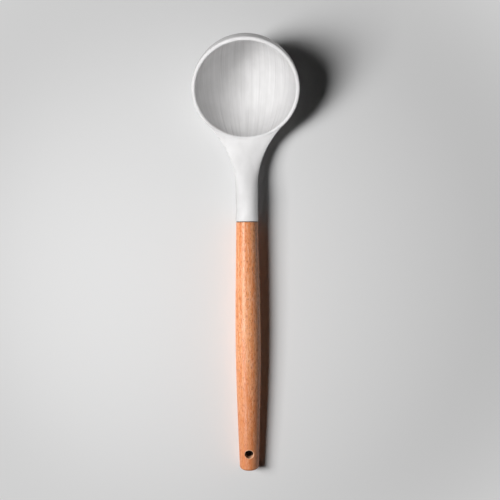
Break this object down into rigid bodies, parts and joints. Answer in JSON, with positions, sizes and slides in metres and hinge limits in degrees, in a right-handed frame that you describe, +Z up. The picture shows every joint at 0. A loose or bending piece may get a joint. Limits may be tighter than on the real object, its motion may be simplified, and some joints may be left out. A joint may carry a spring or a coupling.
{
  "type": "soup ladle",
  "caption": "Soup ladle: a deep round silicone bowl tipped back on a flared neck, and a turned beech handle with a cross hole to hang it by.",
  "frame": {"origin": "middle of the ladle's footprint on the table, at the height of the table that the bowl and the handle's tail lie on", "axes": "+Y along the ladle from the handle's tail to the bowl, +X across it, +Z up out of the open bowl"},
  "size_m": [0.0784, 0.3246, 0.0642],
  "materials": {
    "silicone": "matte moulded silicone, off-white",
    "nylon": "glass-filled nylon, natural colour",
    "beech": "turned steamed beech under a thin satin lacquer",
    "epoxy": "set epoxy glue, amber"
  },
  "bodies": {
    "root": {"silicone_head": "silicone", "nylon_core": "nylon", "beech_handle": "beech", "epoxy_bond": "epoxy"}
  },
  "joints": []
}
